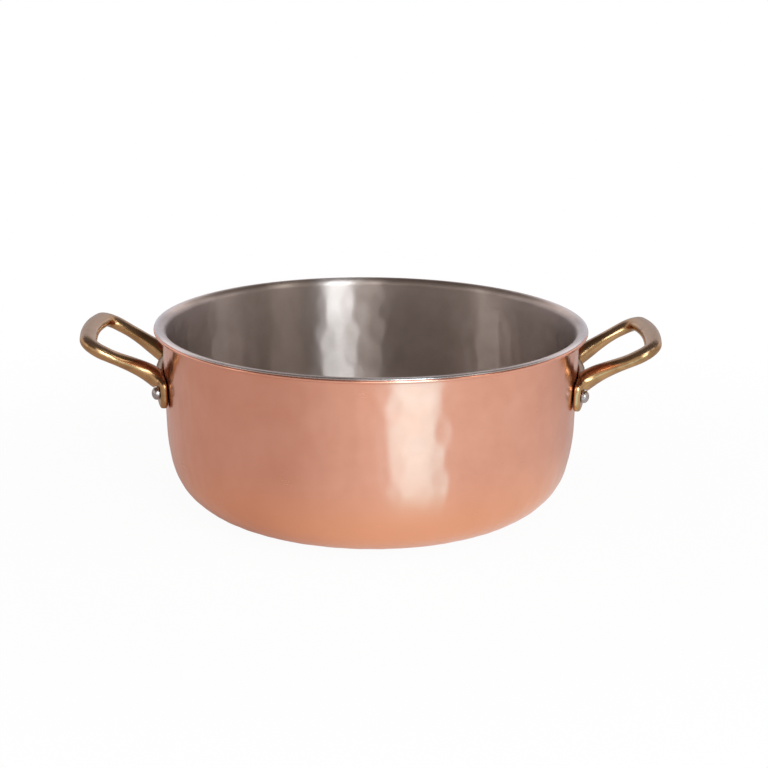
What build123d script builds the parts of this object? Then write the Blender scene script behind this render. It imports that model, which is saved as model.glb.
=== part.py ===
from build123d import *
import math
import os

# A 24 cm copper casserole: a hammered copper pot with a bright metal lining and
# two cast brass loop handles, each held by two rivets. Millimetres, +Z up.
# The origin is the middle of the flat bottom, and the handles lie along X.

# Pot outline, measured on the outer copper surface
pot_height = 108.3
base_flat_radius = 86.0
knuckle_radius = 33.5
knuckle_turn = 75.0
side_radius = 104.0
wall_draft = 1.5
copper_thickness = 2.0

# Rim, bent outward from the wall, with both edges rounded down to a narrow flat
lip_bend_radius = 2.0
lip_droop = 52.0
rim_nose_flat = 0.1

# Bright lining, bonded to the inside of the copper and over the rim's crest. It
# stops a little before the rim's rounded edge, which shows as a copper line
lining_thickness = 0.4
bond_gap = 0.05
lining_setback = 0.35

# Handle seat, a curved plate that hugs the wall at a fixed drop below the rim
handle_drop = 44.6
seat_gap = 0.1
plate_thickness = 4.4
plate_width = 78.0
plate_end_height = 17.2
plate_middle_height = 20.1
plate_shoulder_run = 21.0
plate_corner_radius = 4.5
plate_shoulder_radius = 8.0
plate_edge_round = 1.2

# Handle loop, an oval bar in a plane that rises away from the wall. Its roots are
# placed from the plate's lower edge and ends.
loop_rise = 27.7
root_lift = 18.9
root_inset = 13.6
root_stand_off = 4.4
leg_splay = 15.9
loop_reach = 43.2
grip_bow_radius = 151.0
corner_radius = 9.0
grip_width = 10.9
grip_depth = 8.2

# Each leg grows heavier towards the plate and spreads over it at its root, most of
# all underneath and towards the plate's end
thicker_from = 12.0
leg_width = 11.3
leg_depth = 9.2
spread_from = 4.0
spread_width = 13.4
spread_depth = 10.6
spread_drop = 0.4
root_width = 20.0
root_depth = 11.4
root_drop = 1.3
root_shift = 2.4

# Rivets, also placed from the plate's lower edge and ends
rivet_lift = 9.2
rivet_inset = 6.4
shank_diameter = 4.2
shank_clearance = 0.1
head_diameter = 7.5
head_side = 1.6
head_dome = 2.6
inner_head_diameter = 10.0
inner_head_side = 0.5
inner_head_dome = 1.5
head_gap = 0.05
head_clearance = 0.3

# The wall leans outward by the draft, so its tangent stands at this angle to the floor
wall_angle = 90.0 - wall_draft
side_turn = wall_angle - knuckle_turn
skin_depth = copper_thickness + bond_gap + lining_thickness
plate_bottom = pot_height - handle_drop
plate_top = plate_bottom + plate_middle_height
rivet_height = plate_bottom + rivet_lift
rivet_offset = plate_width / 2 - rivet_inset
root_height = plate_bottom + root_lift
root_offset = plate_width / 2 - root_inset


def sine(degrees):
    return math.sin(math.radians(degrees))


def cosine(degrees):
    return math.cos(math.radians(degrees))


def tangent(degrees):
    return math.tan(math.radians(degrees))


# Where the curved side ends and the straight wall begins
wall_foot_radius = (
    base_flat_radius
    + knuckle_radius * sine(knuckle_turn)
    + side_radius * (sine(wall_angle) - sine(knuckle_turn))
)
wall_foot_height = (
    knuckle_radius * (1 - cosine(knuckle_turn))
    + side_radius * (cosine(knuckle_turn) - cosine(wall_angle))
)
# The rim's bend ends the wall: its centre lies one top radius below the crest
lip_centre_height = pot_height - lip_bend_radius - skin_depth
wall_top_height = lip_centre_height + lip_bend_radius * sine(wall_draft)
wall_length = (wall_top_height - wall_foot_height) / sine(wall_angle)
# Where the rim's rounding starts on its top, as an angle past the crest
rim_round = (copper_thickness - rim_nose_flat) / 2
rim_round_reach = lip_bend_radius + copper_thickness - rim_round
rim_round_droop = lip_droop - math.degrees(math.asin(rim_round / rim_round_reach))
lining_droop = rim_round_droop - math.degrees(lining_setback / (lip_bend_radius + skin_depth))


def wall_radius(height):
    """Radius of the outer copper surface on the straight wall."""
    return wall_foot_radius + (height - wall_foot_height) * tangent(wall_draft)


def pot_line(inset, droop):
    """The pot's side from the axis to the rim, inset from the outer surface."""
    bottom = Line((0, inset), (base_flat_radius, inset))
    knuckle = JernArc(bottom @ 1, bottom % 1, knuckle_radius - inset, knuckle_turn)
    side = JernArc(knuckle @ 1, knuckle % 1, side_radius - inset, side_turn)
    wall = Line(side @ 1, side @ 1 + (side % 1) * wall_length)
    return JernArc(wall @ 1, wall % 1, lip_bend_radius + inset, -(wall_angle + droop))


def shell_section(outer_inset, inner_inset, droop):
    """Half section of the shell between two insets of the pot's line."""
    with BuildSketch(Plane.XZ) as section:
        with BuildLine():
            outer_lip = pot_line(outer_inset, droop)
            inner_lip = pot_line(inner_inset, droop)
            Line(outer_lip @ 1, inner_lip @ 1)
            Line((0, outer_inset), (0, inner_inset))
        make_face()
    return section.sketch


def rivet_plane(side, end):
    """Plane on the wall under a rivet: side is +1 or -1 along X, end along Y."""
    radius = wall_radius(rivet_height)
    turn = math.degrees(math.asin(rivet_offset / radius))
    around = end * turn if side > 0 else 180 - end * turn
    outward = Vector(
        cosine(wall_draft) * cosine(around),
        cosine(wall_draft) * sine(around),
        -sine(wall_draft),
    )
    place = (radius * cosine(around), radius * sine(around), rivet_height)
    return Plane(origin=place, x_dir=(-sine(around), cosine(around), 0), z_dir=outward)


sides = {"left": -1, "right": 1}
ends = {"front": -1, "back": 1}
rivet_planes = {
    (side, end): rivet_plane(sides[side], ends[end]) for side in sides for end in ends
}
hole_radius = shank_diameter / 2 + shank_clearance
hole_length = 4 * (skin_depth + plate_thickness)

# Copper body, a bent sheet with rivet holes and a rounded rim
with BuildPart() as copper_body:
    revolve(shell_section(0, copper_thickness, lip_droop), axis=Axis.Z)
    rim_face = faces().filter_by(GeomType.CONE).sort_by(Axis.Z)[-1]
    fillet(rim_face.edges().filter_by(GeomType.CIRCLE), rim_round)
    with Locations(*rivet_planes.values()):
        Cylinder(hole_radius, hole_length, mode=Mode.SUBTRACT)

# Lining, a thin bright skin inside the copper and over the crest of its rim
with BuildPart() as lining:
    revolve(shell_section(copper_thickness + bond_gap, skin_depth, lining_droop), axis=Axis.Z)
    with Locations(*rivet_planes.values()):
        Cylinder(hole_radius, hole_length, mode=Mode.SUBTRACT)

# The loop's centre line lies in a tilted plane, with x outward and y sideways
root_reach = wall_radius(root_height) + root_stand_off
loop_plane = Plane(
    origin=(root_reach, 0, root_height),
    x_dir=(cosine(loop_rise), 0, sine(loop_rise)),
    z_dir=(-sine(loop_rise), 0, cosine(loop_rise)),
)


def corner_centre():
    """Centre of the corner arc, tangent to the leg and to the bowed grip."""
    start = Vector(
        corner_radius * sine(leg_splay),
        root_offset - corner_radius * cosine(leg_splay),
    )
    along = Vector(cosine(leg_splay), sine(leg_splay))
    away = start - Vector(loop_reach - grip_bow_radius, 0)
    reach = grip_bow_radius - corner_radius
    half = away.dot(along)
    travel = -half + math.sqrt(half**2 - away.dot(away) + reach**2)
    return start + along * travel


corner = corner_centre()
leg_end = corner + Vector(-sine(leg_splay), cosine(leg_splay)) * corner_radius
leg_length = (leg_end - Vector(0, root_offset)).length
grip_turn = math.degrees(math.asin(corner.Y / (grip_bow_radius - corner_radius)))
corner_turn = 90 + leg_splay - grip_turn


def leg_section(travel, width, depth, drop, shift, end):
    """An oval across a leg, at its travel out from the root."""
    along = Vector(cosine(leg_splay), end * sine(leg_splay))
    place = Vector(0, end * (root_offset + shift)) + along * travel
    origin = loop_plane.from_local_coords((place.X, place.Y, -drop))
    ahead = loop_plane.from_local_coords((place.X + along.X, place.Y + along.Y, -drop))
    with BuildSketch(Plane(origin=origin, x_dir=loop_plane.z_dir, z_dir=ahead - origin)) as section:
        Ellipse(depth / 2, width / 2)
    return section.sketch


def wall_band(low, high, inner_gap, outer_gap):
    """Half section of a ring along the wall, between two gaps outside the copper."""
    with BuildSketch(Plane.XZ) as section:
        Polygon(
            (wall_radius(low) + inner_gap, low),
            (wall_radius(low) + outer_gap, low),
            (wall_radius(high) + outer_gap, high),
            (wall_radius(high) + inner_gap, high),
            align=None,
        )
    return section.sketch


# Right handle, one casting
with BuildPart() as handle_right:
    # Plate outline, square to the wall, then cut to the wall's curve
    with BuildSketch(Plane.YZ) as outline:
        plate_end = plate_width / 2
        plate_end_top = plate_bottom + plate_end_height
        shoulder = plate_end - plate_shoulder_run
        Polygon(
            (-plate_end, plate_bottom),
            (plate_end, plate_bottom),
            (plate_end, plate_end_top),
            (shoulder, plate_top),
            (-shoulder, plate_top),
            (-plate_end, plate_end_top),
            align=None,
        )
        corners = outline.vertices()
        end_corners = corners.group_by(Axis.X)[0] + corners.group_by(Axis.X)[-1]
        fillet(end_corners, plate_corner_radius)
        fillet(outline.vertices().group_by(Axis.Y)[-1], plate_shoulder_radius)
    extrude(amount=root_reach + plate_thickness)
    revolve(
        wall_band(plate_bottom, plate_top, seat_gap, seat_gap + plate_thickness),
        axis=Axis.Z,
        mode=Mode.INTERSECT,
    )
    fillet(faces().filter_by(GeomType.CONE).sort_by(SortBy.AREA)[-1].edges(), plate_edge_round)
    # Corners and grip in one sweep of the oval bar
    with BuildLine(loop_plane) as bow:
        CenterArc(
            (loop_reach - grip_bow_radius, 0), grip_bow_radius, -grip_turn, 2 * grip_turn
        )
        for end in ends.values():
            CenterArc(
                (corner.X, end * corner.Y), corner_radius, end * grip_turn, end * corner_turn
            )
    sweep(leg_section(leg_length, grip_width, grip_depth, 0, 0, 1), path=bow.wires()[0])
    # Legs, growing heavier from the corners back into the plate
    for end in ends.values():
        loft([
            leg_section(leg_length, grip_width, grip_depth, 0, 0, end),
            leg_section(thicker_from, leg_width, leg_depth, 0, 0, end),
            leg_section(spread_from, spread_width, spread_depth, spread_drop, 0, end),
            leg_section(-root_stand_off, root_width, root_depth, root_drop, root_shift, end),
        ])
    # Everything behind the seat is cut away, so that the casting fits the wall
    revolve(
        wall_band(0, pot_height, -wall_foot_radius / 2, seat_gap),
        axis=Axis.Z,
        mode=Mode.SUBTRACT,
    )
    with Locations(*[rivet_planes["right", end] for end in ends]):
        Cylinder(hole_radius, hole_length, mode=Mode.SUBTRACT)
    # A flat seat is faced off round each rivet head
    with Locations(*[rivet_planes["right", end].offset(seat_gap + plate_thickness) for end in ends]):
        Cylinder(
            head_diameter / 2 + head_clearance,
            hole_length,
            align=(Align.CENTER, Align.CENTER, Align.MIN),
            mode=Mode.SUBTRACT,
        )

# Left handle, the same casting turned about
with BuildPart() as handle_left:
    add(mirror(handle_right.part, about=Plane.YZ))


# Rivets sit on the plate outside and on the lining inside
outer_seat = seat_gap + plate_thickness + head_gap
lining_radius = wall_radius(rivet_height) - skin_depth
lining_hollow = lining_radius - math.sqrt(lining_radius**2 - (inner_head_diameter / 2) ** 2)
inner_seat = -(skin_depth + lining_hollow + head_gap)


def rivet_section(place):
    """Half section of a rivet through its axis, with y outward from the wall."""
    shank = shank_diameter / 2
    head = head_diameter / 2
    inner_head = inner_head_diameter / 2
    inner_rim = inner_seat - inner_head_side
    outer_rim = outer_seat + head_side
    through_axis = Plane(origin=place.origin, x_dir=place.x_dir, z_dir=-place.y_dir)
    with BuildSketch(through_axis) as section:
        with BuildLine():
            TangentArc((0, inner_rim - inner_head_dome), (inner_head, inner_rim), tangent=(1, 0))
            Polyline(
                (inner_head, inner_rim),
                (inner_head, inner_seat),
                (shank, inner_seat),
                (shank, outer_seat),
                (head, outer_seat),
                (head, outer_rim),
            )
            TangentArc((0, outer_rim + head_dome), (head, outer_rim), tangent=(1, 0))
            Line((0, outer_rim + head_dome), (0, inner_rim - inner_head_dome))
        make_face()
    return section.sketch


# Rivets, each with a tall button head outside and a low one inside
rivets = {}
for (side, end), place in rivet_planes.items():
    with BuildPart() as rivet:
        revolve(rivet_section(place), axis=Axis(place.origin, place.z_dir))
    rivets[f"rivet_{side}_{end}"] = rivet

pieces = {
    "copper_body": copper_body,
    "lining": lining,
    "handle_left": handle_left,
    "handle_right": handle_right,
    **rivets,
}
os.makedirs("parts", exist_ok=True)
for name, piece in pieces.items():
    piece.part.label = name
    export_step(piece.part, f"parts/{name}.step")
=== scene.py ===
import math

import bmesh
import bpy
from mathutils import Matrix, Vector


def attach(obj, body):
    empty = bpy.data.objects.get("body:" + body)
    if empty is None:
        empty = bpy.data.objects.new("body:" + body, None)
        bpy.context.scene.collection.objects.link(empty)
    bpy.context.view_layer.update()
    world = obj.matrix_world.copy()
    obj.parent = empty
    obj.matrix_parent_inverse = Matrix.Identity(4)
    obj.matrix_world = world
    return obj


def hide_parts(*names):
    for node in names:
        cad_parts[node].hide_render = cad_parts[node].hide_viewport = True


# Hammered copper casserole with a bright lining and two riveted brass handles.
# Blender works in metres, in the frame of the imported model. The camera's and the studio's
# values below are in metres too, and the sizes of the pot's own pieces are in millimetres.
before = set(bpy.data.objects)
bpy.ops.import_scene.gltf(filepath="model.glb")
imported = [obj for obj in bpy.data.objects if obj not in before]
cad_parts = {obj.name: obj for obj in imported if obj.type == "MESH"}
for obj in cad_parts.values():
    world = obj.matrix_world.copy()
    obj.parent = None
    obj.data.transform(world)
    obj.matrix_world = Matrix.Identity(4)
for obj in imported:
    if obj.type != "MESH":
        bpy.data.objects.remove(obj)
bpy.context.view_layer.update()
mm = 0.001
weld = 0.000001  # metres, within which doubled points are merged
scene = bpy.context.scene


# Helpers that build node trees

def newTree(name, kind, inputs, outputs):
    tree = bpy.data.node_groups.new(name, kind)
    for label, socketType, value in inputs:
        socket = tree.interface.new_socket(label, in_out="INPUT", socket_type=socketType)
        if value is not None:
            socket.default_value = value
    for label, socketType in outputs:
        tree.interface.new_socket(label, in_out="OUTPUT", socket_type=socketType)
    given = tree.nodes.new("NodeGroupInput").outputs
    put = tree.nodes.new("NodeGroupOutput").inputs
    return tree, given, put


def addNode(tree, kind, inputs=None, **settings):
    made = tree.nodes.new(kind)
    for key, value in settings.items():
        setattr(made, key, value)
    for key, value in (inputs or {}).items():
        if isinstance(value, bpy.types.NodeSocket):
            tree.links.new(value, made.inputs[key])
        else:
            made.inputs[key].default_value = value
    return made


def calc(tree, operation, *values):
    return addNode(tree, "ShaderNodeMath", dict(enumerate(values)), operation=operation).outputs[0]


def vectorCalc(tree, operation, *values, output=0):
    made = addNode(tree, "ShaderNodeVectorMath", dict(enumerate(values)), operation=operation)
    return made.outputs[output]


def scaled(tree, vector, factor):
    inputs = {0: vector, "Scale": factor}
    return addNode(tree, "ShaderNodeVectorMath", inputs, operation="SCALE").outputs[0]


def inUnitsOf(tree, vector, size):
    return scaled(tree, vector, calc(tree, "DIVIDE", 1.0, size))


def splitVector(tree, vector):
    return addNode(tree, "ShaderNodeSeparateXYZ", {0: vector}).outputs


def joinVector(tree, x, y, z=0.0):
    return addNode(tree, "ShaderNodeCombineXYZ", {0: x, 1: y, 2: z}).outputs[0]


def remap(tree, value, fromMin, fromMax, toMin=0.0, toMax=1.0, shape="LINEAR"):
    return addNode(tree, "ShaderNodeMapRange", {
        "Value": value, "From Min": fromMin, "From Max": fromMax, "To Min": toMin, "To Max": toMax,
    }, interpolation_type=shape).outputs[0]


def fade(tree, value, start, end, toMin=0.0, toMax=1.0):
    # an even change between two limits, with soft ends
    return remap(tree, value, start, end, toMin, toMax, "SMOOTHSTEP")


def mixValue(tree, share, first, second):
    return addNode(tree, "ShaderNodeMix", {0: share, 2: first, 3: second}).outputs[0]


def mixColour(tree, share, first, second, blend="MIX"):
    inputs = {0: share, 6: first, 7: second}
    return addNode(tree, "ShaderNodeMix", inputs, data_type="RGBA", blend_type=blend).outputs[2]


def noiseAt(tree, place, detail, roughness=0.5):
    return addNode(tree, "ShaderNodeTexNoise", {
        "Vector": place, "Scale": 1.0, "Detail": detail, "Roughness": roughness,
    }).outputs["Fac"]


def objectPlace(tree):
    return addNode(tree, "ShaderNodeTexCoord").outputs["Object"]


# Helpers for Geometry Nodes trees

def storedValue(tree, geometry, name, value):
    inputs = {"Geometry": geometry, "Name": name, "Value": value}
    return addNode(
        tree, "GeometryNodeStoreNamedAttribute", inputs, data_type="FLOAT", domain="POINT"
    ).outputs[0]


def namedValue(tree, name, dataType="FLOAT"):
    inputs = {"Name": name}
    return addNode(tree, "GeometryNodeInputNamedAttribute", inputs, data_type=dataType).outputs[0]


def sampledAt(tree, geometry, value, index, dataType):
    inputs = {"Geometry": geometry, "Value": value, "Index": index}
    return addNode(tree, "GeometryNodeSampleIndex", inputs, data_type=dataType).outputs[0]


def blurred(tree, value, rounds, dataType):
    inputs = {"Value": value, "Iterations": rounds, "Weight": 1.0}
    return addNode(tree, "GeometryNodeBlurAttribute", inputs, data_type=dataType).outputs[0]


def setPoints(tree, geometry, place):
    inputs = {"Geometry": geometry, "Position": place}
    return addNode(tree, "GeometryNodeSetPosition", inputs).outputs[0]


def pushedOut(tree, geometry, amount):
    # moves each point along its own normal
    normal = addNode(tree, "GeometryNodeInputNormal").outputs[0]
    inputs = {"Geometry": geometry, "Offset": scaled(tree, normal, amount)}
    return addNode(tree, "GeometryNodeSetPosition", inputs).outputs[0]


def finishTree(tree, geometry, material, output):
    # the export drops instances, so every tree ends with real, smooth geometry
    real = addNode(tree, "GeometryNodeRealizeInstances", {"Geometry": geometry}).outputs[0]
    smooth = addNode(tree, "GeometryNodeSetShadeSmooth", {"Geometry": real}).outputs[0]
    finished = addNode(tree, "GeometryNodeSetMaterial", {"Geometry": smooth, "Material": material})
    tree.links.new(finished.outputs[0], output)


def bakeMesh(thing):
    # the evaluated result becomes a plain mesh and the modifiers go
    thing.update_tag()
    graph = bpy.context.evaluated_depsgraph_get()
    made = bpy.data.meshes.new_from_object(thing.evaluated_get(graph), depsgraph=graph)
    thing.modifiers.clear()
    thing.data = made


def applyTree(thing, tree, values):
    # a modifier's inputs are set by their sockets' identifiers
    modifier = thing.modifiers.new(tree.name, "NODES")
    modifier.node_group = tree
    for item in tree.interface.items_tree:
        if item.item_type == "SOCKET" and item.in_out == "INPUT" and item.name in values:
            modifier[item.identifier] = values[item.name]
    bakeMesh(thing)


def newObject(name, data):
    thing = bpy.data.objects.new(name, data)
    scene.collection.objects.link(thing)
    return thing


# Camera, at the photograph's angle
cameraSetup = {
    "target": Vector((0, 0, 0.060)),
    "distance": 1.0,
    "elevation": 16.24,  # degrees above the floor
    "lens": 78.05,  # millimetres, as is the sensor's width
    "sensor": 36,
    "clip": (0.01, 50),
    "imageSize": 768,
    "targetPixel": (370.75, 399.8),  # where the target falls in the photograph
    "roll": 0.447,  # degrees
}


def makeCamera(setup):
    data = bpy.data.cameras.new("camera")
    data.lens = setup["lens"]
    data.sensor_width = setup["sensor"]
    data.clip_start, data.clip_end = setup["clip"]
    camera = newObject("camera", data)
    lift = math.radians(setup["elevation"])
    back = Vector((0, -math.cos(lift), math.sin(lift)))
    right = Vector((1, 0, 0))
    facing = Matrix((right, back.cross(right), back)).transposed().to_4x4()
    focal = setup["lens"] / setup["sensor"] * setup["imageSize"]
    half = setup["imageSize"] / 2
    aside = math.atan((setup["targetPixel"][0] - half) / focal)
    down = math.atan((setup["targetPixel"][1] - half) / focal)
    turned = (
        facing
        @ Matrix.Rotation(aside, 4, "Y")
        @ Matrix.Rotation(down, 4, "X")
        @ Matrix.Rotation(math.radians(setup["roll"]), 4, "Z")
    )
    place = Matrix.Translation(setup["target"] + back * setup["distance"])
    camera.matrix_world = place @ turned
    scene.camera = camera


makeCamera(cameraSetup)
print("camera set")


# Studio: a pale floor, a white world and soft lamps
studio = {
    "floorSize": 24.0,
    "floorDrop": 0.0002,  # below the pot's flat bottom
    "floorColour": (0.82, 0.81, 0.80, 1),
    "whiteNear": 0.955,  # how far the floor goes to plain white beside the pot, over its shadow
    "whiteFrom": 0.20,
    "whiteTo": 0.50,  # past this distance the floor is plain white
    "metalShare": 0.55,  # the same for metal, which sees a softer white that dims to one side
    "brightSide": (0.643, -0.766, 0.0),
    "brightFrom": 0.1,  # cosines of the angle from the bright side
    "brightTo": 0.95,
    "floorDim": (0.545, 0.405, 0.375, 1),
    "floorBright": (0.98, 0.96, 0.97, 1),
    "fill": 0.35,  # light that the world gives to rough surfaces
    "horizonFront": (0.80, 0.76, 0.74, 1),  # what metal sees level with the pot, in front
    "horizonBack": (0.93, 0.91, 0.98, 1),  # and behind the pot
    "behindFrom": -0.3,  # how far back a view has to point for what lies behind
    "behindTo": 0.6,
    "dipBack": (0.60, 0.58, 0.62, 1),  # a dimmer stretch above that
    "dipFrom": 0.05,  # heights of the view's direction, here and below
    "dipTo": 0.22,
    "highBack": (1.25, 1.15, 1.13, 1),  # higher up behind it
    "highFrom": 0.28,
    "highTo": 0.36,
    "overhead": (0.13, 0.10, 0.085, 1),
    "overheadFrom": 0.44,
    "overheadTo": 0.66,
    "lampAim": 0.05,  # the height that every lamp points at
}
# A bright card lies on the floor towards the key lamp, and only metal sees it. Its colour
# makes up for the copper's own, so that the light it gives there looks nearly white.
floorCard = {
    "apex": (0.0127, -0.0597, 0.0),
    "left": (1.0, 15.0),  # azimuths in degrees where it starts and is full
    "right": (33.0, 37.5),  # where it starts to fade and is gone
    "near": (0.150, 0.205),  # distances from the pot's axis where it starts and is full
    "colour": (0.32, 1.50, 2.20, 1),
}
lamps = {
    # name: azimuth, elevation, distance, width, height, watts, colour, whether metal sees it
    "key": (21.5, 27, 1.5, 0.42, 1.2, 11.5, (0.84, 0.97, 1.05), True),
    "front": (4, 30, 1.6, 0.50, 1.2, 2.9, (0.95, 0.96, 0.96), True),
    "side": (65, 45, 1.6, 0.35, 0.5, 1.5, (1.0, 0.97, 0.90), True),
    "top": (0, 80, 1.6, 1.2, 1.2, 6, (1.0, 0.94, 0.90), False),
    "left": (-73, 25, 1.8, 0.30, 1.0, 0.9, (1.0, 0.95, 0.9), True),
}
plainWhite = (1, 1, 1, 1)


def cameraAndMetal(tree):
    # 1 for a ray that the camera sends out, and 1 for a ray that metal or glass does
    rays = addNode(tree, "ShaderNodeLightPath").outputs
    bounced = calc(tree, "MAXIMUM", rays["Is Glossy Ray"], rays["Is Transmission Ray"])
    return rays["Is Camera Ray"], bounced


def towardsBright(tree, vector, setup):
    # 0 on the dim side of the studio and 1 on the bright side
    unit = vectorCalc(tree, "NORMALIZE", vector)
    facing = vectorCalc(tree, "DOT_PRODUCT", unit, setup["brightSide"], output="Value")
    return fade(tree, facing, setup["brightFrom"], setup["brightTo"])


def cardMask(tree, place, away, card):
    # a wedge that opens outwards from its apex
    parts = splitVector(tree, vectorCalc(tree, "SUBTRACT", place, card["apex"]))
    turn = calc(tree, "ARCTAN2", parts[0], calc(tree, "MULTIPLY", parts[1], -1.0))
    turn = calc(tree, "DEGREES", turn)
    left = fade(tree, turn, *card["left"])
    right = fade(tree, turn, *card["right"], 1.0, 0.0)
    along = fade(tree, away, *card["near"])
    return calc(tree, "MULTIPLY", calc(tree, "MULTIPLY", left, right), along)


def floorMaterial(setup, card):
    material = bpy.data.materials.new("paleFloor")
    material.use_nodes = True
    tree = material.node_tree
    tree.nodes.clear()
    place = objectPlace(tree)
    camera, bounced = cameraAndMetal(tree)
    away = vectorCalc(tree, "LENGTH", place, output="Value")
    whiteness = fade(tree, away, setup["whiteFrom"], setup["whiteTo"], setup["whiteNear"], 1.0)
    share = calc(tree, "MULTIPLY", camera, whiteness)
    share = calc(tree, "ADD", share, calc(tree, "MULTIPLY", bounced, setup["metalShare"]))
    bright = towardsBright(tree, place, setup)
    soft = mixColour(tree, bright, setup["floorDim"], setup["floorBright"])
    soft = mixColour(tree, cardMask(tree, place, away, card), soft, card["colour"], "ADD")
    colour = mixColour(tree, bounced, plainWhite, soft)
    matt = addNode(tree, "ShaderNodeBsdfDiffuse", {"Color": setup["floorColour"]})
    white = addNode(tree, "ShaderNodeEmission", {"Color": colour, "Strength": 1.0})
    mix = addNode(tree, "ShaderNodeMixShader", {0: share, 1: matt.outputs[0], 2: white.outputs[0]})
    addNode(tree, "ShaderNodeOutputMaterial", {"Surface": mix.outputs[0]})
    return material


def makeFloor(setup, card):
    mesh = bpy.data.meshes.new("floor")
    side = setup["floorSize"] / 2
    corners = [(-side, -side, 0), (side, -side, 0), (side, side, 0), (-side, side, 0)]
    mesh.from_pydata(corners, [], [(0, 1, 2, 3)])
    mesh.materials.append(floorMaterial(setup, card))
    floor = newObject("floor", mesh)
    floor.location.z = -setup["floorDrop"]


def makeWorld(setup):
    world = bpy.data.worlds.new("studioWorld")
    world.use_nodes = True
    tree = world.node_tree
    tree.nodes.clear()
    camera, bounced = cameraAndMetal(tree)
    direction = addNode(tree, "ShaderNodeTexCoord").outputs["Generated"]
    parts = splitVector(tree, direction)
    behind = fade(tree, parts[1], setup["behindFrom"], setup["behindTo"])
    high = fade(tree, parts[2], setup["highFrom"], setup["highTo"])
    dip = fade(tree, parts[2], setup["dipFrom"], setup["dipTo"])
    above = fade(tree, parts[2], setup["overheadFrom"], setup["overheadTo"])
    back = mixColour(tree, dip, setup["horizonBack"], setup["dipBack"])
    back = mixColour(tree, high, back, setup["highBack"])
    level = mixColour(tree, behind, setup["horizonFront"], back)
    seen = mixColour(tree, above, level, setup["overhead"])
    colour = mixColour(tree, bounced, plainWhite, seen)
    fill = remap(tree, camera, 0, 1, setup["fill"], 1.0)
    strength = mixValue(tree, bounced, fill, 1.0)
    light = addNode(tree, "ShaderNodeBackground", {"Color": colour, "Strength": strength})
    addNode(tree, "ShaderNodeOutputWorld", {"Surface": light.outputs[0]})
    scene.world = world


def makeLamp(name, azimuth, elevation, distance, width, height, watts, colour, seenInMetal):
    data = bpy.data.lights.new(name, "AREA")
    data.shape = "RECTANGLE"
    data.size = width
    data.size_y = height
    data.energy = watts
    data.color = colour
    lamp = newObject(name, data)
    around = math.radians(azimuth)
    lift = math.radians(elevation)
    flat = math.cos(lift)
    out = Vector((math.sin(around) * flat, -math.cos(around) * flat, math.sin(lift)))
    lamp.location = Vector((0, 0, studio["lampAim"])) + out * distance
    lamp.rotation_mode = "QUATERNION"
    lamp.rotation_quaternion = out.to_track_quat("Z", "Y")
    lamp.visible_glossy = seenInMetal


makeFloor(studio, floorCard)
makeWorld(studio)
for lampName, lampValues in lamps.items():
    makeLamp(lampName, *lampValues)
scene.view_settings.view_transform = "Standard"
print("studio lit")


# A shader group shared by the metals: blotches, streaks round the pot and small specks
metalTone = {
    "Blotch": {"size": 18.0, "squeeze": (1, 1, 1), "detail": 4.0, "roughness": 0.55},
    "Streak": {"size": 0.6, "squeeze": (0.05, 0.05, 1), "detail": 5.0, "roughness": 0.6},
    "Speck": {"size": 2.0, "squeeze": (1, 1, 1), "detail": 3.0, "roughness": 0.6},
}
toneRange = (0.3, 0.7)  # the noise values that become 0 and 1 in these
pressRange = (0.25, 0.75)  # and in the uneven surfaces


def makeToneGroup(tones):
    inputs = [
        (f"{label} Size", "NodeSocketFloat", kind["size"] * mm) for label, kind in tones.items()
    ]
    inputs.append(("Seed", "NodeSocketFloat", 0.0))
    outputs = [(label, "NodeSocketFloat") for label in tones]
    tree, given, put = newTree("metalTone", "ShaderNodeTree", inputs, outputs)
    shift = joinVector(tree, given["Seed"], given["Seed"])
    place = vectorCalc(tree, "ADD", objectPlace(tree), shift)
    for label, kind in tones.items():
        squeezed = vectorCalc(tree, "MULTIPLY", place, kind["squeeze"])
        noisePlace = inUnitsOf(tree, squeezed, given[f"{label} Size"])
        noise = noiseAt(tree, noisePlace, kind["detail"], kind["roughness"])
        tree.links.new(remap(tree, noise, *toneRange), put[label])
    return tree


toneGroup = makeToneGroup(metalTone)


def newMetal(name, setup):
    material = bpy.data.materials.new(name)
    material.use_nodes = True
    tree = material.node_tree
    shader = tree.nodes["Principled BSDF"]
    shader.inputs["Metallic"].default_value = 1.0
    group = addNode(tree, "ShaderNodeGroup", node_tree=toneGroup)
    for label, size in setup["toneSizes"].items():
        group.inputs[f"{label} Size"].default_value = size * mm
    group.inputs["Seed"].default_value = setup["toneSeed"]
    return material, tree, shader, group.outputs


def blotchRoughness(tree, tone, setup):
    low, high = setup["roughness"]
    return remap(tree, tone["Blotch"], 0, 1, low, high)


def streakRoughness(tree, tone, setup):
    swing = setup["streakSwing"]
    streaks = remap(tree, tone["Streak"], 0, 1, -swing, swing)
    return calc(tree, "ADD", blotchRoughness(tree, tone, setup), streaks)


def brushRound(tree, shader, setup):
    # the pot was brushed round its axis, which draws its highlights out upright
    shader.inputs["Anisotropic"].default_value = setup["anisotropic"]
    shader.inputs["Anisotropic Rotation"].default_value = 0.25  # a quarter turn
    around = addNode(tree, "ShaderNodeTangent", direction_type="RADIAL", axis="Z")
    tree.links.new(around.outputs[0], shader.inputs["Tangent"])


def addBump(tree, shader, height, setup):
    bump = addNode(tree, "ShaderNodeBump", {
        "Height": height, "Strength": setup["bumpStrength"], "Distance": setup["bumpDepth"] * mm,
    })
    tree.links.new(bump.outputs[0], shader.inputs["Normal"])


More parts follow.
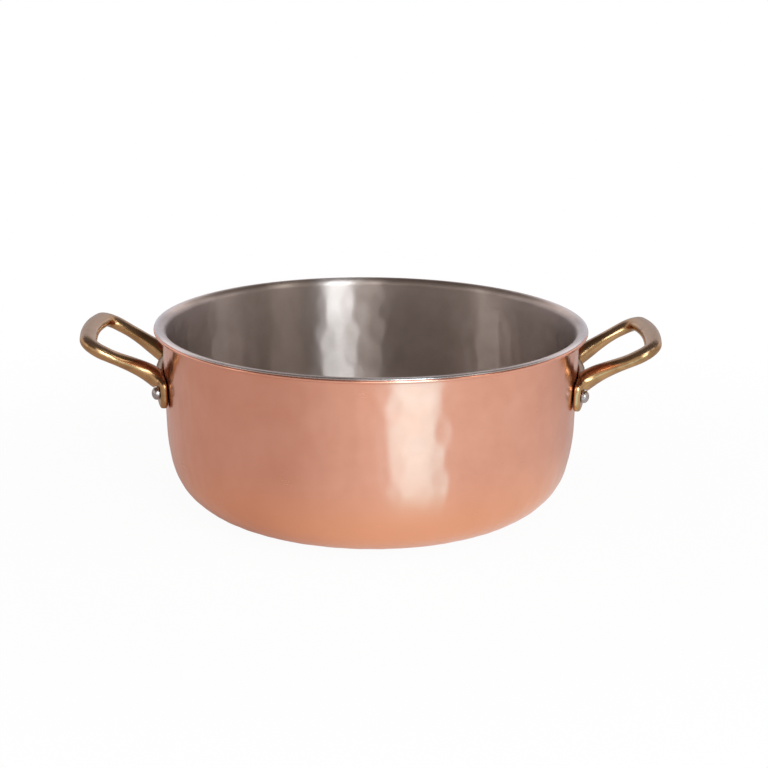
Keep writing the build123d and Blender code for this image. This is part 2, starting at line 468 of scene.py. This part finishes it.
# The pot's line: one sheet outline for the copper and its lining
potLine = {
    "baseFlatRadius": 85.999,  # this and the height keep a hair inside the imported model's box
    "kneeRadius": 33.5,
    "kneeTurn": 75.0,  # degrees, as are the wall's draft and the lip's droop
    "sideRadius": 104.0,
    "wallDraft": 1.5,
    "height": 108.288,
    "lipBend": 2.0,
    "lipDroop": 52.0,
    "noseFlat": 0.1,  # left between the rim's two rounded edges
    "liningSetback": 0.35,  # from the start of the rim's rounding to the lining's end
    "copper": 2.0,
    "sheet": 2.45,  # copper, bond and lining together
    "segments": 560,  # round the pot
    "ringStep": 1.7,  # spacing of the rings of points
    "hiddenStep": 6.0,  # the same where copper and lining meet
    "lipStep": 0.45,  # and round the lip, with no fewer than the next number
    "lipLeast": 16,
    "noseSteps": 8,
}


def arcPoints(start, heading, radius, turn, count):
    # points after start along an arc, which turns left for a positive turn
    sign = 1 if turn > 0 else -1
    side = math.radians(heading)
    centre = (start[0] - sign * radius * math.sin(side), start[1] + sign * radius * math.cos(side))
    angles = [math.radians(heading + turn * step / count) for step in range(1, count + 1)]
    return [
        (centre[0] + sign * radius * math.sin(angle), centre[1] - sign * radius * math.cos(angle))
        for angle in angles
    ]


def rimRound():
    # the rounding's radius, and where it starts on the rim's top as an angle past the crest
    radius = (potLine["copper"] - potLine["noseFlat"]) / 2
    reach = potLine["lipBend"] + potLine["copper"] - radius
    return radius, potLine["lipDroop"] - math.degrees(math.asin(radius / reach))


def sheetLine(inset, step, droop):
    # (radius, height) from the axis to the lip's end, at an inset from the copper's outer skin
    flat = potLine["baseFlatRadius"]
    flatCount = round(flat / step / 2)
    line = [(flat * n / flatCount, inset) for n in range(flatCount + 1)]
    knee = potLine["kneeRadius"] - inset
    kneeCount = round(knee * math.radians(potLine["kneeTurn"]) / step)
    line += arcPoints(line[-1], 0, knee, potLine["kneeTurn"], kneeCount)
    wallAngle = 90 - potLine["wallDraft"]
    side = potLine["sideRadius"] - inset
    sideTurn = wallAngle - potLine["kneeTurn"]
    sideCount = round(side * math.radians(sideTurn) / step)
    line += arcPoints(line[-1], potLine["kneeTurn"], side, sideTurn, sideCount)
    # every inset bends round the same lip centre
    bend = potLine["lipBend"] + inset
    lean = math.radians(potLine["wallDraft"])
    wallTop = potLine["height"] - potLine["lipBend"] - potLine["sheet"] + bend * math.sin(lean)
    foot = line[-1]
    run = wallTop - foot[1]
    wallCount = round(run / step)
    line += [
        (foot[0] + math.tan(lean) * run * n / wallCount, foot[1] + run * n / wallCount)
        for n in range(1, wallCount + 1)
    ]
    lipTurn = wallAngle + droop
    lipCount = round(bend * math.radians(lipTurn) / potLine["lipStep"])
    line += arcPoints(line[-1], wallAngle, bend, -lipTurn, max(potLine["lipLeast"], lipCount))
    return line


def roundedNose(outer, inner):
    # both lines' last stretches, rounded into a narrow end face
    radius = rimRound()[0]
    bend = potLine["lipBend"]
    across = (Vector(inner[-1]) - Vector(outer[-1])).normalized()
    along = Vector((-across.y, across.x))
    if along.dot(Vector(outer[-1]) - Vector(outer[-3])) < 0:
        along = -along
    centre = Vector(outer[-1]) - across * bend
    ends = []
    for line, reach, sign in (
        (outer, bend + radius, -1),
        (inner, bend + potLine["copper"] - radius, 1),
    ):
        middle = centre + across * math.sqrt(reach ** 2 - radius ** 2) - along * radius
        facing = (middle - centre).normalized()
        start = middle + facing * radius * sign
        onward = (along - facing * along.dot(facing)).normalized()
        kept = []
        for point in line:
            step = Vector(point) - start
            if step.dot(onward) < 0 or step.length > 2 * radius:
                kept.append(point)
        turn = math.acos(along.dot(facing * sign))
        for n in range(potLine["noseSteps"] + 1):
            angle = turn * n / potLine["noseSteps"]
            spoke = facing * sign * math.cos(angle) + onward * math.sin(angle)
            kept.append(tuple(middle + radius * spoke))
        ends.append(kept)
    return ends


def hammerShare(radius, height, knock):
    # full on the wall and knee, gentle on the flat base inside its edge, and none at the lip
    lipFade = (potLine["height"] - knock["lipFree"] - height) / knock["lipFade"]
    lipFade = min(1.0, max(0.0, lipFade))
    onBase = radius < potLine["baseFlatRadius"] - knock["baseEdge"] and height < knock["baseEdge"]
    return lipFade * (knock["baseShare"] if onBase else 1.0)


def profileMesh(name, shown, hidden, knock):
    # a string of points: the hammered side from the axis out, then the hidden side back
    mesh = bpy.data.meshes.new(name)
    points = shown + hidden[::-1]
    mesh.from_pydata([(radius * mm, 0, height * mm) for radius, height in points], [], [])
    share = mesh.attributes.new("hammerShare", "FLOAT", "POINT")
    values = [hammerShare(radius, height, knock) for radius, height in shown]
    share.data.foreach_set("value", values + [0.0] * len(hidden))
    return mesh


# What a hammer leaves, on the copper and through it on the lining
hammerMark = {
    "smoothness": 0.12,  # how softly neighbouring marks meet
    "randomness": 0.85,  # how far they stray from even rows
    "reach": 0.45,  # where a mark ends: the squared distance from its middle, in marks
    "swayDetail": 2.0,
    "blur": 1,  # rounds of blurring, which take out single stray points
}


def lathedProfile(tree, given):
    # turns the profile's points round the axis on a grid: a column for each step of the turn
    profile = given["Profile"]
    count = addNode(tree, "GeometryNodeAttributeDomainSize", {0: profile}).outputs["Point Count"]
    columns = calc(tree, "ADD", given["Segments"], 1)
    grid = addNode(tree, "GeometryNodeMeshGrid", {
        "Size X": 1.0, "Size Y": 1.0, "Vertices X": columns, "Vertices Y": count,
    }).outputs[0]
    index = addNode(tree, "GeometryNodeInputIndex").outputs[0]
    column = calc(tree, "FLOOR", calc(tree, "DIVIDE", calc(tree, "ADD", index, 0.5), count))
    ring = calc(tree, "SUBTRACT", index, calc(tree, "MULTIPLY", column, count))
    turn = calc(tree, "DIVIDE", column, given["Segments"])
    angle = calc(tree, "MULTIPLY", turn, 2 * math.pi)
    place = addNode(tree, "GeometryNodeInputPosition").outputs[0]
    at = splitVector(tree, sampledAt(tree, profile, place, ring, "FLOAT_VECTOR"))
    share = sampledAt(tree, profile, namedValue(tree, "hammerShare"), ring, "FLOAT")
    marked = storedValue(tree, grid, "hammered", share)
    turned = joinVector(
        tree,
        calc(tree, "MULTIPLY", at[0], calc(tree, "COSINE", angle)),
        calc(tree, "MULTIPLY", at[0], calc(tree, "SINE", angle)),
        at[2],
    )
    lathed = setPoints(tree, marked, turned)
    inputs = {"Geometry": lathed, "Distance": weld}
    return addNode(tree, "GeometryNodeMergeByDistance", inputs).outputs[0]


def hammerPress(tree, given, mark):
    # how far each point is pressed in: each mark is a shallow cell, deepest in its middle
    place = addNode(tree, "GeometryNodeInputPosition").outputs[0]
    shift = joinVector(tree, given["Seed"], given["Seed"])
    spread = joinVector(tree, given["Mark Width"], given["Mark Width"], given["Mark Height"])
    cell = addNode(tree, "ShaderNodeTexVoronoi", {
        "Vector": vectorCalc(tree, "ADD", vectorCalc(tree, "DIVIDE", place, spread), shift),
        "Scale": 1.0,
        "Smoothness": mark["smoothness"],
        "Randomness": mark["randomness"],
    }, feature="SMOOTH_F1").outputs["Distance"]
    dip = remap(tree, calc(tree, "MULTIPLY", cell, cell), 0.0, mark["reach"], 1.0, 0.0)
    swayPlace = vectorCalc(tree, "ADD", inUnitsOf(tree, place, given["Sway Size"]), shift)
    sway = remap(tree, noiseAt(tree, swayPlace, mark["swayDetail"]), *pressRange)
    press = calc(tree, "MULTIPLY", dip, given["Mark Depth"])
    press = calc(tree, "ADD", press, calc(tree, "MULTIPLY", sway, given["Sway Depth"]))
    press = calc(tree, "MULTIPLY", press, namedValue(tree, "hammered"))
    return blurred(tree, calc(tree, "MULTIPLY", press, -1.0), mark["blur"], "FLOAT")


def makeShellTree():
    # a lathe for a closed string of points, then hammer marks pressed into the shown side
    tree, given, put = newTree("hammeredShell", "GeometryNodeTree", [
        ("Profile", "NodeSocketGeometry", None),
        ("Segments", "NodeSocketInt", 560),
        ("Mark Width", "NodeSocketFloat", 0.008),
        ("Mark Height", "NodeSocketFloat", 0.014),
        ("Mark Depth", "NodeSocketFloat", 0.00006),
        ("Sway Size", "NodeSocketFloat", 0.03),
        ("Sway Depth", "NodeSocketFloat", 0.00008),
        ("Seed", "NodeSocketFloat", 0.0),
        ("Finish", "NodeSocketMaterial", None),
    ], [("Mesh", "NodeSocketGeometry")])
    pressed = pushedOut(tree, lathedProfile(tree, given), hammerPress(tree, given, hammerMark))
    finishTree(tree, pressed, given["Finish"], put["Mesh"])
    return tree


shellTree = makeShellTree()


def faceOutwards(thing):
    # a closed shell's volume is positive when its faces point outwards
    work = bmesh.new()
    work.from_mesh(thing.data)
    if work.calc_volume(signed=True) < 0:
        bmesh.ops.reverse_faces(work, faces=work.faces)
        work.to_mesh(thing.data)
    work.free()


def hammeredShell(name, shown, hidden, setup, finish):
    shell = newObject(name, profileMesh(name, shown, hidden, setup["knock"]))
    applyTree(shell, shellTree, {
        "Segments": potLine["segments"],
        "Mark Width": setup["markWidth"] * mm,
        "Mark Height": setup["markHeight"] * mm,
        "Mark Depth": setup["markDepth"] * mm,
        "Sway Size": setup["swaySize"] * mm,
        "Sway Depth": setup["swayDepth"] * mm,
        "Seed": setup["seed"],
        "Finish": finish,
    })
    faceOutwards(shell)
    return shell


# Copper body
copperBody = {
    # the hammer stays this far below the rim and reaches its full depth over the fade;
    # on the flat bottom, up to this far from its edge, it goes to a share of that depth
    "knock": {"lipFree": 3.5, "lipFade": 5.0, "baseEdge": 8.0, "baseShare": 0.3},
    "markWidth": 8.0,
    "markHeight": 15.0,
    "markDepth": 0.18,
    "swaySize": 34.0,
    "swayDepth": 0.20,
    "seed": 3.7,
    "toneSizes": {"Blotch": 20.0, "Streak": 0.8},
    "toneSeed": 0.31,
    "rose": (0.83, 0.415, 0.29, 1),
    "deep": (0.78, 0.37, 0.25, 1),
    "baseGlow": (0.88, 0.41, 0.22, 1),  # the warmer foot
    "glowFull": 10.0,  # heights where the foot's warmth is full and where it is gone
    "glowGone": 55.0,
    "glowShare": 0.8,
    "roughness": (0.22, 0.27),
    "streakSwing": 0.012,
    "anisotropic": 0.75,
    "coatWeight": 0.25,  # thin clear lacquer, which pales the pot's edges
    "coatRoughness": 0.15,
}


def copperFinish(setup):
    material, tree, shader, tone = newMetal("hammeredCopper", setup)
    colour = mixColour(tree, tone["Blotch"], setup["rose"], setup["deep"])
    height = splitVector(tree, objectPlace(tree))[2]
    glow = fade(
        tree, height, setup["glowFull"] * mm, setup["glowGone"] * mm, setup["glowShare"], 0.0
    )
    colour = mixColour(tree, glow, colour, setup["baseGlow"])
    tree.links.new(colour, shader.inputs["Base Color"])
    tree.links.new(streakRoughness(tree, tone, setup), shader.inputs["Roughness"])
    shader.inputs["Coat Weight"].default_value = setup["coatWeight"]
    shader.inputs["Coat Roughness"].default_value = setup["coatRoughness"]
    brushRound(tree, shader, setup)
    return material


def makeCopperBody(setup):
    outer = sheetLine(0, potLine["ringStep"], potLine["lipDroop"])
    inner = sheetLine(potLine["copper"], potLine["hiddenStep"], potLine["lipDroop"])
    shown, hidden = roundedNose(outer, inner)
    body = hammeredShell("copperPot", shown, hidden, setup, copperFinish(setup))
    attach(body, "root")
    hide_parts("copper_body")
    return body


copperPot = makeCopperBody(copperBody)
print("copper body hammered:", len(copperPot.data.polygons), "faces")


# Lining
liningSkin = {
    "gap": 0.05,  # between copper and lining
    "knock": {"lipFree": 4.5, "lipFade": 6.0, "baseEdge": 8.0, "baseShare": 0.6},
    "markWidth": 9.0,
    "markHeight": 16.0,
    "markDepth": 0.15,
    "swaySize": 28.0,
    "swayDepth": 0.18,
    "seed": 9.2,
    "toneSizes": {"Blotch": 20.0, "Streak": 0.7},
    "toneSeed": 1.7,
    "bright": (0.53, 0.455, 0.42, 1),
    "dull": (0.45, 0.38, 0.345, 1),
    # the lip's paler colour is painted light: bright on the outer lip, leaving the inner bend
    # darker as if shaded
    "lip": (0.63, 0.60, 0.60, 1),
    "lipFrom": 123.0,  # the lip is smoother past this radius, and paler there as painted light for its shading
    "lipTo": 126.4,
    "roughness": (0.30, 0.37),
    "streakSwing": 0.02,
    "lipRoughness": 0.27,
    "anisotropic": 1.0,
    "bumpStrength": 0.05,
    "bumpDepth": 0.03,
}


def liningFinish(setup):
    material, tree, shader, tone = newMetal("brightLining", setup)
    colour = mixColour(tree, tone["Blotch"], setup["bright"], setup["dull"])
    flat = vectorCalc(tree, "MULTIPLY", objectPlace(tree), (1, 1, 0))
    radius = vectorCalc(tree, "LENGTH", flat, output="Value")
    # past lipFrom the lip turns smoother and, as painted light for its shading, paler
    onLip = fade(tree, radius, setup["lipFrom"] * mm, setup["lipTo"] * mm)
    colour = mixColour(tree, onLip, colour, setup["lip"])
    tree.links.new(colour, shader.inputs["Base Color"])
    rough = mixValue(tree, onLip, streakRoughness(tree, tone, setup), setup["lipRoughness"])
    tree.links.new(rough, shader.inputs["Roughness"])
    brushRound(tree, shader, setup)
    addBump(tree, shader, tone["Streak"], setup)
    return material


def makeLining(setup):
    bend = potLine["lipBend"] + potLine["sheet"]
    droop = rimRound()[1] - math.degrees(potLine["liningSetback"] / bend)
    shown = sheetLine(potLine["sheet"], potLine["ringStep"], droop)
    hidden = sheetLine(potLine["copper"] + setup["gap"], potLine["hiddenStep"], droop)
    skin = hammeredShell("liningSkin", shown, hidden, setup, liningFinish(setup))
    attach(skin, "root")
    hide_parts("lining")
    return skin


liningPiece = makeLining(liningSkin)
print("lining hammered:", len(liningPiece.data.polygons), "faces")


# Handles, each one casting
castHandle = {
    "voxel": 0.5,  # mesh size
    "blur": 8,  # rounds that soften the casting's edges
    "fillReach": 18,  # rounds that find the inside corners, which are then filled
    "fill": 0.6,
    "rippleSize": 12.0,
    "rippleDepth": 0.15,
    "rippleDetail": 2.0,
    "seeds": {"left": 2.0, "right": 7.5},
    "toneSizes": {"Blotch": 11.0, "Speck": 1.2},
    "toneSeed": 4.4,
    "gold": (0.52, 0.315, 0.15, 1),
    "brownTarnishAndShade": (0.22, 0.12, 0.05, 1),  # blotches of tarnishing, and painted shade in the inside corners and on the leg tops near the roots
    "cornerDepth": 0.06,  # fill that counts as a full inside corner, where the painted shade is full
    "cornerShare": 0.95,
    "rootShadeFrom": 150.0,  # how far out the painted shade on the leg tops near the roots starts and is full
    "rootShadeTo": 136.0,
    "rootShadeShare": 0.9,
    "blotchFrom": 0.30,  # blotches past this value are tarnished
    "blotchShare": 0.60,
    "dull": (0.42, 0.305, 0.22, 1),  # the grip's handled top
    "dullFrom": 138.0,  # how far out the dulling starts and is full
    "dullTo": 156.0,
    "dullLeast": 0.25,  # its share on the legs' tops
    "topFrom": 0.40,  # how far up a face has to look to be dulled, and near the roots to get painted shade
    "topTo": 0.95,
    "roughness": (0.17, 0.27),
    "dullRoughness": 0.40,
    "bumpStrength": 0.15,
    "bumpDepth": 0.02,
}


def makeCastTree(setup):
    # softens a remeshed casting and gives it the slight unevenness of sand casting
    tree, given, put = newTree("castSurface", "GeometryNodeTree", [
        ("Casting", "NodeSocketGeometry", None),
        ("Softening", "NodeSocketInt", 8),
        ("Fill Reach", "NodeSocketInt", 18),
        ("Fill", "NodeSocketFloat", 0.6),
        ("Ripple Size", "NodeSocketFloat", 0.012),
        ("Ripple Depth", "NodeSocketFloat", 0.00015),
        ("Seed", "NodeSocketFloat", 0.0),
        ("Finish", "NodeSocketMaterial", None),
    ], [("Mesh", "NodeSocketGeometry")])
    place = addNode(tree, "GeometryNodeInputPosition").outputs[0]
    soft = blurred(tree, place, given["Softening"], "FLOAT_VECTOR")
    casting = setPoints(tree, given["Casting"], soft)
    # where far blurring moves the skin outwards there is an inside corner, and it gets a fillet
    normal = addNode(tree, "GeometryNodeInputNormal").outputs[0]
    far = blurred(tree, place, given["Fill Reach"], "FLOAT_VECTOR")
    away = vectorCalc(tree, "SUBTRACT", far, place)
    lift = vectorCalc(tree, "DOT_PRODUCT", away, normal, output="Value")
    lift = calc(tree, "MAXIMUM", lift, 0.0)
    # the corner's depth, in millimetres, is kept on the points for the brass's painted shade in
    # inside corners
    casting = storedValue(tree, casting, "corner", calc(tree, "DIVIDE", lift, mm))
    casting = pushedOut(tree, casting, calc(tree, "MULTIPLY", lift, given["Fill"]))
    casting = setPoints(tree, casting, soft)
    shift = joinVector(tree, given["Seed"], given["Seed"])
    ripplePlace = vectorCalc(tree, "ADD", inUnitsOf(tree, place, given["Ripple Size"]), shift)
    ripple = noiseAt(tree, ripplePlace, setup["rippleDetail"])
    press = remap(tree, ripple, *pressRange, 0.0, -1.0)
    casting = pushedOut(tree, casting, calc(tree, "MULTIPLY", press, given["Ripple Depth"]))
    finishTree(tree, casting, given["Finish"], put["Mesh"])
    return tree


castTree = makeCastTree(castHandle)


def brassFinish(setup):
    material, tree, shader, tone = newMetal("castBrass", setup)
    outward = calc(tree, "ABSOLUTE", splitVector(tree, objectPlace(tree))[0])
    normal = addNode(tree, "ShaderNodeNewGeometry").outputs["Normal"]
    onTop = remap(tree, splitVector(tree, normal)[2], setup["topFrom"], setup["topTo"])
    onGrip = fade(tree, outward, setup["dullFrom"] * mm, setup["dullTo"] * mm, setup["dullLeast"])
    # painted shade on the up-facing faces near the roots
    nearRoot = fade(tree, outward, setup["rootShadeFrom"] * mm, setup["rootShadeTo"] * mm)
    nearRoot = calc(tree, "MULTIPLY", nearRoot, setup["rootShadeShare"])
    # painted shade in the inside corners, from the kept corner depth
    corner = addNode(tree, "ShaderNodeAttribute", attribute_name="corner").outputs["Fac"]
    corner = remap(tree, corner, 0.0, setup["cornerDepth"], 0.0, setup["cornerShare"])
    blotch = remap(tree, tone["Blotch"], setup["blotchFrom"], 1.0, 0.0, setup["blotchShare"])
    # the brown share: painted shade from the corners and the root tops, plus tarnished blotches
    tarnishAndShade = calc(tree, "ADD", corner, calc(tree, "MULTIPLY", nearRoot, onTop))
    tarnishAndShade = calc(tree, "MINIMUM", calc(tree, "ADD", tarnishAndShade, blotch), 1.0)
    dulled = calc(tree, "MULTIPLY", onGrip, onTop)
    dulled = calc(tree, "MULTIPLY", dulled, calc(tree, "SUBTRACT", 1.0, corner))
    colour = mixColour(tree, tarnishAndShade, setup["gold"], setup["brownTarnishAndShade"])
    colour = mixColour(tree, dulled, colour, setup["dull"])
    tree.links.new(colour, shader.inputs["Base Color"])
    rough = mixValue(tree, dulled, blotchRoughness(tree, tone, setup), setup["dullRoughness"])
    tree.links.new(rough, shader.inputs["Roughness"])
    addBump(tree, shader, tone["Speck"], setup)
    return material


brass = brassFinish(castHandle)


def mergedCopy(name, node):
    # a CAD node's mesh is loose triangles, so the copy's doubles are merged
    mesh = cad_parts[node].data.copy()
    mesh.materials.clear()
    work = bmesh.new()
    work.from_mesh(mesh)
    bmesh.ops.remove_doubles(work, verts=work.verts, dist=weld)
    work.to_mesh(mesh)
    work.free()
    return newObject(name, mesh)


def makeHandle(name, node, side, setup):
    handle = mergedCopy(name, node)
    remesh = handle.modifiers.new("remesh", "REMESH")
    remesh.mode = "VOXEL"
    remesh.voxel_size = setup["voxel"] * mm
    bakeMesh(handle)
    applyTree(handle, castTree, {
        "Softening": setup["blur"],
        "Fill Reach": setup["fillReach"],
        "Fill": setup["fill"],
        "Ripple Size": setup["rippleSize"] * mm,
        "Ripple Depth": setup["rippleDepth"] * mm,
        "Seed": setup["seeds"][side],
        "Finish": brass,
    })
    faceOutwards(handle)
    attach(handle, "root")
    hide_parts(node)
    return handle


leftHandle = makeHandle("handleLeft", "handle_left", "left", castHandle)
rightHandle = makeHandle("handleRight", "handle_right", "right", castHandle)
print("handles cast:", len(leftHandle.data.polygons), len(rightHandle.data.polygons), "faces")


# Rivets: a domed head outside and a wider, flatter one inside each
rivetSet = {
    "height": 72.9,  # of the rivets on the wall
    "aside": 32.6,  # from the pot's middle
    "wallRadius": 122.49,  # of the wall's outer face at that height
    "outerSeat": 4.55,  # from the wall's outer face to the head's seat
    "innerSeat": -2.5,
    "headRadius": 3.72,
    "headSide": 1.55,
    "headDome": 2.6,
    "innerRadius": 4.97,
    "innerSide": 0.47,
    "innerDome": 1.5,
    "edgeRound": 0.35,
    "ringSteps": 9,
    "segments": 48,
    "unevenness": 0.05,
    "unevenDetail": 1.0,
    "toneSizes": {"Blotch": 4.0, "Speck": 0.6},
    "toneSeed": 8.8,
    "colour": (0.42, 0.385, 0.37, 1),
    "roughness": (0.20, 0.34),
    "bumpStrength": 0.3,
    "bumpDepth": 0.08,
}


def rivetFinish(setup):
    material, tree, shader, tone = newMetal("rivetSteel", setup)
    shader.inputs["Base Color"].default_value = setup["colour"]
    tree.links.new(blotchRoughness(tree, tone, setup), shader.inputs["Roughness"])
    addBump(tree, shader, tone["Speck"], setup)
    return material


def headLine(seat, side, dome, radius, turn, setup):
    # (radius, distance along the rivet) from the seat's middle to the dome's top
    steps = setup["ringSteps"]
    edge = setup["edgeRound"]
    line = [(0, seat), (radius - edge, seat)]
    bends = [math.pi / 2 * n / steps for n in range(1, steps + 1)]
    line += [
        (radius - edge + edge * math.sin(bend), seat + turn * edge * (1 - math.cos(bend)))
        for bend in bends
    ]
    line += [
        (radius * math.cos(bend), seat + turn * (side + dome * math.sin(bend)))
        for bend in [0.0] + bends[:-1]
    ]
    return line + [(0, seat + turn * (side + dome))]


def makeRivetTree(setup):
    # sets one pair of heads at every point of the places, facing the way that the point says
    tree, given, put = newTree("rivetPairs", "GeometryNodeTree", [
        ("Places", "NodeSocketGeometry", None),
        ("Heads", "NodeSocketObject", None),
        ("Unevenness", "NodeSocketFloat", 0.00005),
        ("Uneven Size", "NodeSocketFloat", 0.003),
        ("Finish", "NodeSocketMaterial", None),
    ], [("Mesh", "NodeSocketGeometry")])
    heads = addNode(tree, "GeometryNodeObjectInfo", {"Object": given["Heads"]}).outputs["Geometry"]
    facing = namedValue(tree, "outward", "FLOAT_VECTOR")
    turned = addNode(tree, "FunctionNodeAlignRotationToVector", {"Vector": facing}, axis="Z")
    placed = addNode(tree, "GeometryNodeInstanceOnPoints", {
        "Points": given["Places"], "Instance": heads, "Rotation": turned.outputs[0],
    }).outputs[0]
    # made real before the unevenness, so that each rivet gets its own
    real = addNode(tree, "GeometryNodeRealizeInstances", {"Geometry": placed}).outputs[0]
    place = addNode(tree, "GeometryNodeInputPosition").outputs[0]
    noise = noiseAt(tree, inUnitsOf(tree, place, given["Uneven Size"]), setup["unevenDetail"])
    press = remap(tree, noise, *pressRange, -1.0, 0.0)
    uneven = pushedOut(tree, real, calc(tree, "MULTIPLY", press, given["Unevenness"]))
    finishTree(tree, uneven, given["Finish"], put["Mesh"])
    return tree


def addLathed(work, line, segments):
    # rings of points round Z, joined by faces; where the radius is 0 a ring is one point
    rings = []
    for radius, along in line:
        if radius == 0:
            rings.append([work.verts.new((0, 0, along * mm))] * segments)
            continue
        turns = [2 * math.pi * n / segments for n in range(segments)]
        rings.append([
            work.verts.new(Vector((radius * math.cos(turn), radius * math.sin(turn), along)) * mm)
            for turn in turns
        ])
    for before, after in zip(rings, rings[1:]):
        for n in range(segments):
            onward = (n + 1) % segments
            corners = (before[n], before[onward], after[onward], after[n])
            work.faces.new(list(dict.fromkeys(corners)))


def makeHeads(setup):
    # both heads of one rivet, lathed about the rivet's own axis
    work = bmesh.new()
    for seat, side, dome, radius, turn in (
        (setup["outerSeat"], setup["headSide"], setup["headDome"], setup["headRadius"], 1),
        (setup["innerSeat"], setup["innerSide"], setup["innerDome"], setup["innerRadius"], -1),
    ):
        addLathed(work, headLine(seat, side, dome, radius, turn, setup), setup["segments"])
    bmesh.ops.recalc_face_normals(work, faces=work.faces)
    mesh = bpy.data.meshes.new("rivetHeads")
    work.to_mesh(mesh)
    work.free()
    return newObject("rivetHeads", mesh)


def rivetPlace(sideSign, endSign, setup):
    # one point on the wall's outer face, with the direction that the rivet's outer head faces
    lean = math.radians(potLine["wallDraft"])
    turn = math.asin(setup["aside"] / setup["wallRadius"])
    flat = Vector((sideSign * math.cos(turn), endSign * math.sin(turn), 0))
    middle = flat * setup["wallRadius"] + Vector((0, 0, setup["height"]))
    mesh = bpy.data.meshes.new("rivetPlace")
    mesh.from_pydata([middle * mm], [], [])
    outward = mesh.attributes.new("outward", "FLOAT_VECTOR", "POINT")
    outward.data[0].vector = flat * math.cos(lean) - Vector((0, 0, math.sin(lean)))
    return mesh


def makeRivets(setup):
    heads = makeHeads(setup)
    tree = makeRivetTree(setup)
    finish = rivetFinish(setup)
    for side, sideSign in (("left", -1), ("right", 1)):
        for end, endSign in (("front", -1), ("back", 1)):
            name = f"rivet{side.capitalize()}{end.capitalize()}"
            rivet = newObject(name, rivetPlace(sideSign, endSign, setup))
            applyTree(rivet, tree, {
                "Heads": heads,
                "Unevenness": setup["unevenness"] * mm,
                "Uneven Size": setup["headRadius"] * mm,
                "Finish": finish,
            })
            faceOutwards(rivet)
            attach(rivet, "root")
            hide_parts(f"rivet_{side}_{end}")
    bpy.data.objects.remove(heads)


makeRivets(rivetSet)
print("rivets set")
